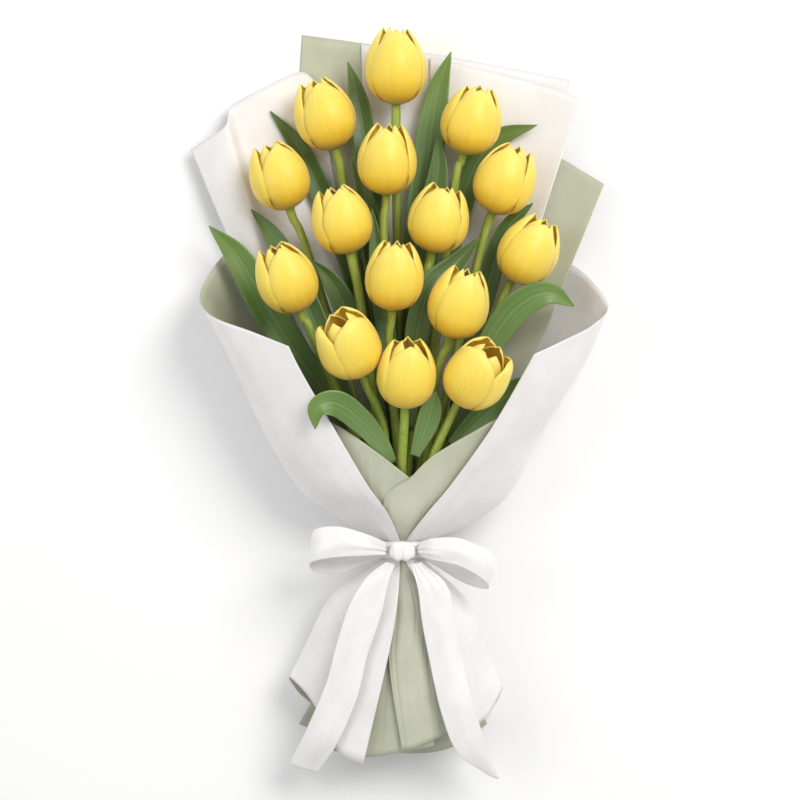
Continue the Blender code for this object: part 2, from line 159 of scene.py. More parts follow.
def bump(nt, bsdf, height, strength, distance):
    b = node(nt, "ShaderNodeBump")
    b.inputs["Strength"].default_value = strength
    b.inputs["Distance"].default_value = distance
    link(nt, height, b.inputs["Height"])
    link(nt, b.outputs[0], bsdf.inputs["Normal"])


def coords(nt):
    t = node(nt, "ShaderNodeTexCoord")
    return t.outputs["UV"], t.outputs["Object"]


def split(nt, vec):
    s = node(nt, "ShaderNodeSeparateXYZ")
    link(nt, vec, s.inputs[0])
    return s.outputs


def petal_material(name, deep):
    """Yellow petal: fine lengthwise streaks, paler towards the rim, a warm
    painted shade at the base, and a deeper yellow on inner faces."""
    m, nt, bsdf = nodes_of(name)
    uv, obj = coords(nt)
    sep = split(nt, uv)
    # both ramps start dark at the tepal's foot: painted shade where the cup closes on the stem
    if deep:
        base = ramp(nt, sep[1], [(0.0, (0.50, 0.38, 0.03)), (0.18, (0.90, 0.55, 0.02)),
                                 (0.6, (0.96, 0.66, 0.05)), (1.0, (0.98, 0.75, 0.14))])
    else:
        base = ramp(nt, sep[1], [(0.0, (0.45, 0.36, 0.03)), (0.10, (0.82, 0.50, 0.022)),
                                 (0.35, (0.95, 0.65, 0.065)), (0.75, (0.975, 0.735, 0.115)),
                                 (1.0, (0.99, 0.80, 0.19))])
    streak = noise_tex(nt, mapped(nt, uv, (34.0, 1.6, 1.0)), 1.0, 3.0, 0.6)
    tone = ramp(nt, streak, [(0.30, (0.86, 0.80, 0.62)), (0.62, (1.0, 1.0, 1.0))])
    col = mix(nt, "MULTIPLY", 0.55, base, tone)
    cloud = noise_tex(nt, obj, 45.0, 2.0)
    col = mix(nt, "MULTIPLY", 0.35, col, ramp(nt, cloud, [(0.3, (0.90, 0.84, 0.70)), (0.7, (1, 1, 1))]))
    link(nt, col, bsdf.inputs["Base Color"])
    rough = ramp(nt, streak, [(0.2, (0.52, 0.52, 0.52)), (0.8, (0.40, 0.40, 0.40))])
    link(nt, rough, bsdf.inputs["Roughness"])
    bsdf.inputs["Subsurface Weight"].default_value = 0.22
    bsdf.inputs["Subsurface Radius"].default_value = (1.0, 0.55, 0.12)
    bsdf.inputs["Subsurface Scale"].default_value = 0.004
    bsdf.inputs["Sheen Weight"].default_value = 0.15
    bump(nt, bsdf, streak, 0.22, 0.0006)
    return m


def leaf_material(name, light):
    """Tulip leaf: lengthwise veins, a pale midrib and a thin paler margin,
    with a waxy bloom in soft patches."""
    m, nt, bsdf = nodes_of(name)
    uv, obj = coords(nt)
    sep = split(nt, uv)
    # the lighter ramp is painted light for leaves out in the light, the darker one painted shade for leaves inside the
    # bunch
    if light:
        base = ramp(nt, sep[1], [(0.0, (0.17, 0.27, 0.06)), (0.4, (0.13, 0.24, 0.055)), (1.0, (0.20, 0.30, 0.10))])
    else:
        base = ramp(nt, sep[1], [(0.0, (0.085, 0.15, 0.022)), (0.4, (0.075, 0.15, 0.028)), (1.0, (0.12, 0.20, 0.05))])
    vein = noise_tex(nt, mapped(nt, uv, (26.0, 0.5, 1.0)), 1.0, 2.0, 0.5)
    col = mix(nt, "MULTIPLY", 0.65, base, ramp(nt, vein, [(0.35, (0.62, 0.68, 0.55)), (0.6, (1, 1, 1))]))
    patch = noise_tex(nt, obj, 22.0, 3.0)
    col = mix(nt, "MIX", ramp(nt, patch, [(0.45, (0, 0, 0)), (0.72, (0.28, 0.28, 0.28))]), col, (0.17, 0.26, 0.10))
    # pale margin and midrib
    a = node(nt, "ShaderNodeMath", operation="SUBTRACT")
    link(nt, sep[0], a.inputs[0])
    a.inputs[1].default_value = 0.5
    b = node(nt, "ShaderNodeMath", operation="ABSOLUTE")
    link(nt, a.outputs[0], b.inputs[0])
    edge = ramp(nt, b.outputs[0], [(0.0, (0.5, 0.5, 0.5)), (0.03, (0, 0, 0)), (0.46, (0, 0, 0)), (0.5, (0.55, 0.55, 0.55))])
    col = mix(nt, "MIX", edge, col, (0.26, 0.36, 0.14))
    link(nt, col, bsdf.inputs["Base Color"])
    link(nt, ramp(nt, patch, [(0.3, (0.36, 0.36, 0.36)), (0.7, (0.52, 0.52, 0.52))]), bsdf.inputs["Roughness"])
    bump(nt, bsdf, vein, 0.35, 0.0005)
    return m


def stem_material():
    m, nt, bsdf = nodes_of("stem_green")
    uv, obj = coords(nt)
    streak = noise_tex(nt, mapped(nt, obj, (900.0, 26.0, 900.0)), 1.0, 2.0)
    base = ramp(nt, streak, [(0.3, (0.25, 0.34, 0.035)), (0.7, (0.40, 0.46, 0.085))])
    cloud = noise_tex(nt, obj, 14.0, 2.0)
    col = mix(nt, "MULTIPLY", 0.6, base, ramp(nt, cloud, [(0.3, (0.72, 0.80, 0.62)), (0.7, (1, 1, 1))]))
    link(nt, col, bsdf.inputs["Base Color"])
    link(nt, ramp(nt, cloud, [(0.3, (0.42, 0.42, 0.42)), (0.7, (0.55, 0.55, 0.55))]), bsdf.inputs["Roughness"])
    bsdf.inputs["Subsurface Weight"].default_value = 0.12
    bsdf.inputs["Subsurface Radius"].default_value = (0.6, 1.0, 0.2)
    bsdf.inputs["Subsurface Scale"].default_value = 0.003
    bump(nt, bsdf, streak, 0.2, 0.0004)
    return m


def paper_material(name, dark, light, sheen, rough):
    """Fibrous wrapping paper: a fine felted grain, a faint cloudy tone and
    small pressed creases."""
    m, nt, bsdf = nodes_of(name)
    uv, obj = coords(nt)
    fibre = noise_tex(nt, mapped(nt, obj, (520.0, 900.0, 520.0)), 1.0, 3.0, 0.65)
    cloud = noise_tex(nt, obj, 16.0, 4.0, 0.6)
    col = ramp(nt, cloud, [(0.32, dark), (0.68, light)])
    col = mix(nt, "MULTIPLY", 0.25, col, ramp(nt, fibre, [(0.3, (0.86, 0.86, 0.84)), (0.7, (1, 1, 1))]))
    link(nt, col, bsdf.inputs["Base Color"])
    link(nt, ramp(nt, fibre, [(0.2, (rough - 0.08,) * 3), (0.8, (rough + 0.06,) * 3)]), bsdf.inputs["Roughness"])
    bsdf.inputs["Sheen Weight"].default_value = sheen
    bsdf.inputs["Sheen Roughness"].default_value = 0.5
    crease = noise_tex(nt, obj, 60.0, 5.0, 0.7)
    h = mix(nt, "MIX", 0.35, crease, fibre)
    bump(nt, bsdf, h, 0.30, 0.0006)
    return m


def satin_material():
    """Ivory satin: a fine warp across the ribbon and a silky, directional
    gloss, a little warmer in soft cloudy patches."""
    m, nt, bsdf = nodes_of("ribbon_satin")
    uv, obj = coords(nt)
    weave = node(nt, "ShaderNodeTexWave", wave_type="BANDS", bands_direction="X")
    weave.inputs["Scale"].default_value = 42.0
    weave.inputs["Distortion"].default_value = 0.6
    link(nt, uv, weave.inputs["Vector"])
    cloud = noise_tex(nt, mapped(nt, uv, (2.0, 7.0, 1.0)), 1.0, 3.0)
    col = ramp(nt, cloud, [(0.3, (0.86, 0.825, 0.80)), (0.7, (0.93, 0.915, 0.905))])
    col = mix(nt, "MULTIPLY", 0.12, col, weave.outputs[0])
    link(nt, col, bsdf.inputs["Base Color"])
    link(nt, ramp(nt, cloud, [(0.3, (0.20, 0.20, 0.20)), (0.7, (0.30, 0.30, 0.30))]), bsdf.inputs["Roughness"])
    bsdf.inputs["Sheen Weight"].default_value = 0.35
    bsdf.inputs["Sheen Roughness"].default_value = 0.35
    bsdf.inputs["Anisotropic"].default_value = 0.5
    bsdf.inputs["Coat Weight"].default_value = 0.35
    bsdf.inputs["Coat Roughness"].default_value = 0.25
    bump(nt, bsdf, weave.outputs[0], 0.10, 0.0002)
    return m


PETAL_OUT = petal_material("petal_outside", False)
PETAL_IN = petal_material("petal_inside", True)
# one leaf green in a painted-shade copy and a painted-lit copy
LEAF_PAINTED_SHADE = leaf_material("leaf_painted_shade", False)
LEAF_PAINTED_LIT = leaf_material("leaf_painted_lit", True)
STEM = stem_material()
SAGE = paper_material("paper_sage", (0.44, 0.46, 0.345), (0.55, 0.565, 0.45), 0.1, 0.74)
WHITE = paper_material("paper_white", (0.755, 0.73, 0.72), (0.86, 0.843, 0.838), 0.25, 0.5)
SATIN = satin_material()


def tip_material(name, rgb_a, rgb_b, scale):
    m, nt, bsdf = nodes_of(name)
    uv, obj = coords(nt)
    n = noise_tex(nt, obj, scale, 3.0)
    link(nt, ramp(nt, n, [(0.35, rgb_a), (0.65, rgb_b)]), bsdf.inputs["Base Color"])
    bsdf.inputs["Roughness"].default_value = 0.7
    bump(nt, bsdf, n, 0.4, 0.0005)
    return m


ANTHER = tip_material("anther_brown", (0.10, 0.055, 0.012), (0.24, 0.14, 0.03), 900.0)
PISTIL = tip_material("pistil_green", (0.36, 0.42, 0.10), (0.55, 0.56, 0.20), 500.0)

# ---------------------------------------------------------------- mesh helpers
COLL = bpy.data.collections.new("tulip_bunch_fine")
bpy.context.scene.collection.children.link(COLL)


def grid_into(bm, place, across, along, mat=0, wrap=False):
    """A grid of faces whose corners are place(u, v), with UVs; u and v run
    from 0 to 1."""
    uvl = bm.loops.layers.uv.verify()
    vs = [[bm.verts.new(place(i / across, j / along)) for i in range(across + (0 if wrap else 1))]
          for j in range(along + 1)]
    n = across if wrap else across + 1
    for j in range(along):
        for i in range(across):
            a, b = i, (i + 1) % n if wrap else i + 1
            f = bm.faces.new((vs[j][a], vs[j][b], vs[j + 1][b], vs[j + 1][a]))
            f.smooth = True
            f.material_index = mat
            for lp, (x, y) in zip(f.loops, ((i, j), (i + 1, j), (i + 1, j + 1), (i, j + 1))):
                lp[uvl].uv = (x / across, y / along)
    return vs


def finish_piece(name, bm, mats, replaces, thickness=None, offset=0.0, inner=None, levels=0, rim=None):
    me = bpy.data.meshes.new(name)
    bm.to_mesh(me)
    bm.free()
    for m in mats:
        me.materials.append(m)
    ob = bpy.data.objects.new(name, me)
    COLL.objects.link(ob)
    if levels:
        sub = ob.modifiers.new("soft", "SUBSURF")
        sub.levels = sub.render_levels = levels
    if thickness:
        s = ob.modifiers.new("thickness", "SOLIDIFY")
        s.thickness = thickness * MM
        s.offset = offset
        if inner is not None:
            s.material_offset = inner
        if rim is not None:
            s.material_offset_rim = rim
    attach(ob, "root")
    if replaces:
        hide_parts(*replaces)
    return ob


# --------------------------------------------------------------------- flowers
FLOWERS = {
    1: ((396, 105, 30), 0, 10, 62, 24.5, 0.60),
    2: ((335, 149, 30), -17, 12, 58, 24.5, 0.62),
    3: ((386, 195, 52), 2, 14, 57, 23.5, 0.62),
    4: ((463, 154, 36), 15, 12, 56, 24.0, 0.64),
    5: ((290, 209, 44), -18, 12, 55, 23.5, 0.62),
    6: ((492, 213, 50), 21, 12, 57, 24.5, 0.62),
    7: ((350, 253, 64), -14, 15, 55, 24.0, 0.66),
    8: ((432, 252, 64), 12, 15, 54, 24.0, 0.66),
    9: ((512, 281, 60), 30, 15, 56, 24.0, 0.62),
    10: ((300, 311, 78), -22, 18, 57, 23.5, 0.62),
    11: ((392, 310, 84), 4, 18, 56, 23.0, 0.66),
    12: ((450, 337, 82), 16, 18, 57, 24.0, 0.66),
    13: ((362, 374, 94), -24, 27, 54, 24.5, 0.78),
    14: ((405, 407, 98), 3, 22, 56, 23.0, 0.66),
    15: ((459, 402, 94), 33, 27, 55, 24.5, 0.78),
}
# how far each flower is turned about its own axis, degrees
TURN = {1: 4, 2: 12, 3: -6, 4: 9, 5: 22, 6: -14, 7: 17, 8: -10, 9: 8, 10: 18, 11: -3, 12: 14, 13: 30, 14: 6, 15: -24}
STEMS = {
    1: (0, 1, (396, 160)), 2: (0, 0, (343, 183)), 4: (0, 2, (455, 185)),
    5: (1, 0, (307, 250)), 3: (1, 1, (384, 240)), 6: (1, 2, (478, 260)),
    7: (2, 0, (361, 305)), 8: (2, 1, (426, 285)), 9: (2, 2, (490, 330)),
    10: (3, 0, (313, 334)), 11: (3, 1, (389, 350)), 12: (3, 2, (438, 370)),
    13: (4, 0, (383, 427)), 14: (4, 1, (402, 470)), 15: (4, 2, (434, 455)),
}


def axis_of(lean, tip_up):
    a, b = math.radians(lean), math.radians(tip_up)
    return Vector((math.sin(a) * math.cos(b), math.cos(a) * math.cos(b), math.sin(b)))


def tepal(bm, length, radius, mouth, phi, inner, rnd):
    """One tepal on the cup: ovate, hugging the cup low down, its edges turned
    in and its tip drawn to a soft point."""
    wide = (58 if inner else 64) + rnd.uniform(-3, 3)
    tall = (1.01 if inner else 1.0) * rnd.uniform(0.975, 1.02)
    tuck = 0.91 if inner else 1.0
    lean = rnd.uniform(-0.015, 0.03) + (0.03 if mouth > 0.7 else 0.0)
    phi += math.radians(rnd.uniform(-4, 4))
    body = [(0.0, 0.13), (0.05, 0.46), (0.15, 0.78), (0.34, 1.0), (0.58, 1.0), (0.80, (1.0 + mouth) / 2),
            (0.93, mouth), (1.0, mouth * 0.78)]
    width = [(0.0, 0.62), (0.12, 0.80), (0.35, 1.0), (0.6, 1.02), (0.78, 0.93), (0.90, 0.76), (0.96, 0.58), (1.0, 0.26)]
    wave = rnd.uniform(0, 6.28)

    def place(u, v):
        s = 2 * u - 1
        t = v
        w = math.radians(wide) * soft(width, t)
        a = phi + s * w
        r = soft(body, t) * radius * tuck
        # the middle stands proud as a low keel, the edges turn in
        r *= 1.0 + 0.022 * math.exp(-(s / 0.22) ** 2) * t - 0.055 * s * s * min(1, 2.5 * t)
        r *= 1.0 + lean * t + 0.008 * math.sin(5 * s + wave + 6 * t)
        z = t * length * tall
        # shoulders of the tepal stand lower than its point
        z -= 0.05 * length * s * s * t
        if inner:
            r *= 1 - 0.42 * t ** 3
        z += 0.006 * length * math.sin(3 * s + wave) * t
        return Vector((r * math.cos(a), r * math.sin(a), z)) * MM

    grid_into(bm, place, 12, 22)


def flower(n, place, lean, tip_up, length, radius, mouth):
    rnd = random.Random(100 + n)
    bm = bmesh.new()
    d = axis_of(lean, tip_up)
    # +X of the cup looks at the viewer, up out of the bunch
    side = d.cross(Vector((0, 0, 1))).normalized()
    up = side.cross(d).normalized()
    frame3 = Matrix((
        (up.x, d.cross(up).x, d.x), (up.y, d.cross(up).y, d.y), (up.z, d.cross(up).z, d.z))).to_4x4()
    turn = math.radians(TURN[n])
    for k in range(3):
        tepal(bm, length, radius, mouth, turn + math.radians(60 + 120 * k), True, rnd)
    for k in range(3):
        tepal(bm, length, radius, mouth, turn + math.radians(120 * k), False, rnd)
    bm.normal_update()
    mat4 = Matrix.Translation(at(*place)) @ frame3
    bm.transform(mat4)
    ob = finish_piece("tulip_%02d" % n, bm, [PETAL_OUT, PETAL_IN], ["flower_%02d" % n],
                      thickness=0.9, offset=-1.0, inner=1)
    # pistil and stamens inside
    bm = bmesh.new()

    def rod(p, q, r0, r1, mat, segs=8, rings=6):
        ax = (q - p)
        h = ax.length
        ax.normalize()
        sx = ax.orthogonal().normalized()
        sy = ax.cross(sx)

        def pl(u, v):
            e = min(1.0, min(v, 1 - v) * 6)
            r = (r0 + (r1 - r0) * v) * math.sqrt(max(0.02, e))
            a = 2 * math.pi * u
            return p + ax * (h * v) + (sx * math.cos(a) + sy * math.sin(a)) * r
        vs = grid_into(bm, pl, segs, rings, mat, wrap=True)
        for ring in (vs[0], vs[-1]):
            try:
                f = bm.faces.new(ring if ring is vs[-1] else ring[::-1])
                f.material_index = mat
            except ValueError:
                pass

    L = length * MM
    rod(Vector((0, 0, 0.12 * L)), Vector((0, 0, 0.46 * L)), 0.0030, 0.0024, 0, 10)
    for k in range(3):
        a = math.radians(20 + 120 * k)
        rod(Vector((0.0005 * math.cos(a), 0.0005 * math.sin(a), 0.445 * L)),
            Vector((0.0042 * math.cos(a), 0.0042 * math.sin(a), 0.475 * L)), 0.0016, 0.0012, 0)
    for k in range(6):
        a = math.radians(60 * k + 12)
        c, s = math.cos(a), math.sin(a)
        rod(Vector((0.004 * c, 0.004 * s, 0.13 * L)), Vector((0.0085 * c, 0.0085 * s, 0.34 * L)), 0.0007, 0.0006, 0)
        rod(Vector((0.0085 * c, 0.0085 * s, 0.32 * L)), Vector((0.0098 * c, 0.0098 * s, 0.50 * L)), 0.0013, 0.0011, 1)
    bm.transform(mat4)
    finish_piece("tulip_heart_%02d" % n, bm, [PISTIL, ANTHER], None)
    return ob


def tie_place(row, col):
    shift = (-0.25, 0.25, -0.25, 0.25, 0.0)[row] * STEM_PITCH / STEP
    return (TIE[0] + (col - 1) * STEM_PITCH / STEP + shift,
            TIE[2] + (row - 2) * STEM_PITCH * math.sqrt(3) / 2 + (0.8 if row == 4 else 0.0))


def tube_into(bm, path, radius_of, segs=14, rings=60):
    """A round tube along the smooth curve through path."""
    up = Vector((0, 0, 1))

    def place(u, v):
        p = smooth(path, v)
        d = (smooth(path, min(1, v + 0.01)) - smooth(path, max(0, v - 0.01))).normalized()
        sx = d.cross(up).normalized()
        sy = sx.cross(d)
        a = 2 * math.pi * u
        return p + (sx * math.cos(a) + sy * math.sin(a)) * radius_of(v)
    vs = grid_into(bm, place, segs, rings, 0, wrap=True)
    for ring in (vs[0][::-1], vs[-1]):
        bm.faces.new(ring)


def stem(n):
    place, lean, tip_up = FLOWERS[n][:3]
    row, col, via = STEMS[n]
    tc, tz = tie_place(row, col)
    share = (TIE[1] - via[1]) / (TIE[1] - place[1])
    places = [(TIE[0] + (tc - TIE[0]) * 2.2, 735.0, 37 + (tz - TIE[2]) * 0.9), (tc, TIE[1] + 6, tz), (tc, TIE[1] - 6, tz)]
    if share > 0.6:
        places.append((tc + (via[0] - tc) * 0.47, TIE[1] - (TIE[1] - via[1]) * 0.5,
                       tz + (place[2] - tz) * share * 0.5))
    places.append((*via, tz + (place[2] - tz) * share))
    axis = axis_of(lean, tip_up)
    path = [at(*p) for p in places] + [at(*place) - axis * 8 * MM, at(*place) + axis * 1.0 * MM]
    bm = bmesh.new()
    tube_into(bm, path, lambda v: MM * (3.5 + 0.25 * math.sin(9 * v + n) + (0.7 * max(0.0, v - 0.97) / 0.03)))
    return finish_piece("tulip_stem_%02d" % n, bm, [STEM], ["stem_%02d" % n])


# ---------------------------------------------------------------------- leaves
LEAVES = {
    "back_left": ([(348, 62, 20), (358, 100, 18), (366, 145, 20), (378, 240, 21), (391, 360, 22.5), (399, 480, 23.5)], 26, 0.45),
    "back_right": ([(451, 52, 22), (437, 95, 18), (428, 150, 18), (417, 250, 19), (409, 360, 20.5), (405, 478, 21.2)], 31, 0.45),
    "upper_left": ([(270, 111, 16), (298, 146, 12), (322, 195, 13), (350, 265, 15), (378, 370, 17), (397, 474, 18.8)], 25, 0.45),
    "upper_right": ([(537, 125, 26), (500, 138, 15), (474, 170, 13.5), (452, 235, 14), (428, 350, 14.5), (412, 456, 17)], 27, 0.45),
    "left_long": ([(209, 226, 44), (238, 258, 34), (268, 308, 30), (305, 366, 30), (342, 412, 31), (366, 446, 33)], 34, 0.45),
    "left_inner": ([(251, 209, 28), (276, 240, 34), (300, 290, 46), (326, 350, 50), (350, 410, 50), (366, 440, 48)], 26, 0.45),
    "middle_left": ([(351, 155, 36), (364, 190, 35), (370, 230, 35), (378, 300, 34.6), (388, 390, 34.4), (393, 462, 34.3)], 22, 0.45),
    "middle_right": ([(438, 135, 36), (438, 170, 35.5), (432, 215, 35), (421, 300, 34.8), (413, 390, 34.6), (410, 462, 34.5)], 25, 0.45),
    "left_low": ([(313, 261, 58), (333, 284, 54), (350, 316, 50), (362, 350, 47.5), (374, 395, 46), (385, 440, 45)], 26, 0.45),
    "right_diagonal": ([(480, 237, 58), (455, 264, 60), (432, 288, 69), (419, 325, 67), (411, 380, 61.5), (407, 430, 58)], 27, 0.45),
    "right_inner": ([(533, 203, 44), (511, 224, 42), (497, 254, 40), (484, 300, 38), (464, 370, 36), (448, 440, 34)], 22, 0.45),
    "right_drooping": ([(574, 306, 66), (549, 293, 72), (520, 306, 70), (494, 338, 67), (470, 390, 61.5), (450, 440, 57)], 30, 0.45),
    "right_low": ([(540, 377, 84), (514, 391, 80), (488, 412, 76), (468, 430, 72), (452, 446, 68)], 27, 0.45),
    "front_left": ([(315, 429, 113), (318, 408, 118), (338, 404, 112), (362, 421, 98), (380, 443, 87.5), (393, 463, 81)], 26, 0.3),
    "front_right": ([(436, 391, 99), (431, 410, 95), (423, 434, 88), (415, 456, 81)], 22, 0.45),
}
# leaves that get the painted-lit copy; the rest get the painted-shade copy
PAINTED_LIT_LEAVES = {"back_right", "upper_right", "left_long", "right_drooping", "right_low", "front_left", "front_right"}


def blade(bm, spine, width, base, fold, rnd):
    pts = [at(*p) for p in spine]
    shape = [(0.0, 0.03), (0.06, 0.30), (0.18, 0.72), (0.36, 1.0), (0.56, 0.96), (0.8, 0.70), (1.0, base)]
    ph, ph2 = rnd.uniform(0, 6.28), rnd.uniform(0, 6.28)

    def place(u, v):
        side, t = 2 * u - 1, v
        p = smooth(pts, t)
        d = (smooth(pts, min(t + 0.02, 1.0)) - smooth(pts, max(t - 0.02, 0.0))).normalized()
        out = d.cross(Vector((0, 0, 1))).normalized()
        up = out.cross(d)
        half = 0.5 * width * STEP * MM * soft(shape, t)
        f = fold * (1.0 - 0.5 * t)
        lift = f * (abs(side) ** 1.4) * half
        lift += 0.05 * half * side * side * math.sin(11 * t + ph + (1.5 if side > 0 else 0))
        x = side * half * (1.0 - 0.08 * abs(side) * f)
        x += 0.05 * half * math.sin(7 * t + ph2)
        return p + out * x + up * lift
    grid_into(bm, place, 10, 40)


def leaf(name, spine, width, base):
    rnd = random.Random("leaf" + name)
    bm = bmesh.new()
    fold = 0.34 if name not in ("front_left", "right_drooping") else 0.25
    blade(bm, spine, width, base, fold, rnd)
    if name == "middle_left":      # a second, shorter blade in front of it
        blade(bm, [(372, 208, 50), (378, 262, 50), (386, 330, 50), (395, 400, 50), (402, 452, 50)], 20, 0.45, fold, rnd)
    bm.normal_update()
    mat = LEAF_PAINTED_LIT if name in PAINTED_LIT_LEAVES else LEAF_PAINTED_SHADE
    return finish_piece("tulip_leaf_" + name, bm, [mat], ["leaf_" + name], thickness=0.7, offset=0.0)


# ---------------------------------------------------------------------- papers
def gathered(ply, degs):
    return [[in_tie(row, ply, d) for d in degs] for row in (ENTER, TIE[1], LEAVE)]


def half_gathered(ply, degs):
    return [[in_tie(row, ply, d) for d in degs] for row in (ENTER, 556.0)]


